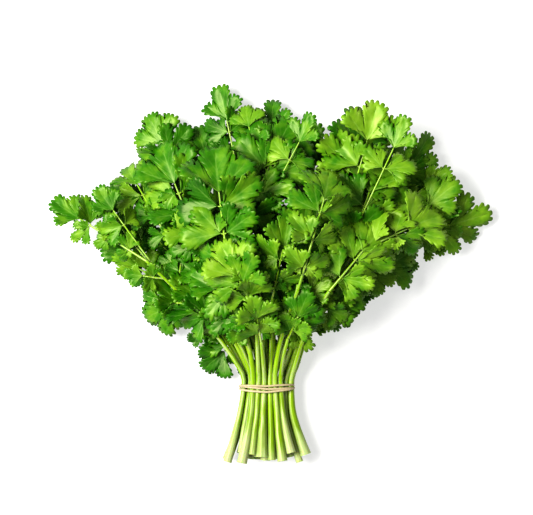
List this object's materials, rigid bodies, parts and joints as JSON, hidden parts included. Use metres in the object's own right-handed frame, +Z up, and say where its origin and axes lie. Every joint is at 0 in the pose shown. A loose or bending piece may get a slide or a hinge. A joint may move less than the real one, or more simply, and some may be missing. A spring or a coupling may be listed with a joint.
{
  "type": "bunch of fresh coriander",
  "caption": "Bunch of fresh coriander lying down: long stems gathered by a wound elastic band, opening into a wide fan of lobed leaflets.",
  "frame": {"origin": "on the surface that the bunch lies on, under the middle of its box", "axes": "+X across the fan of leaves, +Y along the stems from the cut ends to the leaves, +Z up from the surface"},
  "size_m": [0.2694, 0.2312, 0.0794],
  "materials": {
    "leaf": "fresh green leaf, satin, paler at the veins",
    "stem": "fresh yellow-green stem, satin, paler towards the cut end",
    "band": "natural tan rubber, matte"
  },
  "bodies": {
    "root": {"elastic_band": "band", "leaf_01": "leaf", "leaf_02": "leaf", "leaf_03": "leaf", "leaf_04": "leaf", "leaf_05": "leaf", "leaf_06": "leaf", "leaf_07": "leaf", "leaf_08": "leaf", "leaf_09": "leaf", "leaf_10": "leaf", "leaf_11": "leaf", "leaf_12": "leaf", "leaf_13": "leaf", "leaf_14": "leaf", "leaf_15": "leaf", "leaf_16": "leaf", "leaf_17": "leaf", "leaf_18": "leaf", "leaf_19": "leaf", "leaf_20": "leaf", "leaf_21": "leaf", "leaf_22": "leaf", "leaf_23": "leaf", "leaf_24": "leaf", "leaf_25": "leaf", "leaf_26": "leaf", "leaf_27": "leaf", "leaf_28": "leaf", "leaf_29": "leaf", "stem_01": "stem", "stem_02": "stem", "stem_03": "stem", "stem_04": "stem", "stem_05": "stem", "stem_06": "stem", "stem_07": "stem", "stem_08": "stem", "stem_09": "stem", "stem_10": "stem", "stem_11": "stem", "stem_12": "stem", "stem_13": "stem", "stem_14": "stem", "stem_15": "stem", "stem_16": "stem", "stem_17": "stem", "stem_18": "stem", "stem_19": "stem", "stem_20": "stem", "stem_21": "stem", "stem_22": "stem", "stem_23": "stem", "stem_24": "stem", "stem_25": "stem", "stem_26": "stem", "stem_27": "stem", "stem_28": "stem", "stem_29": "stem"}
  },
  "joints": []
}
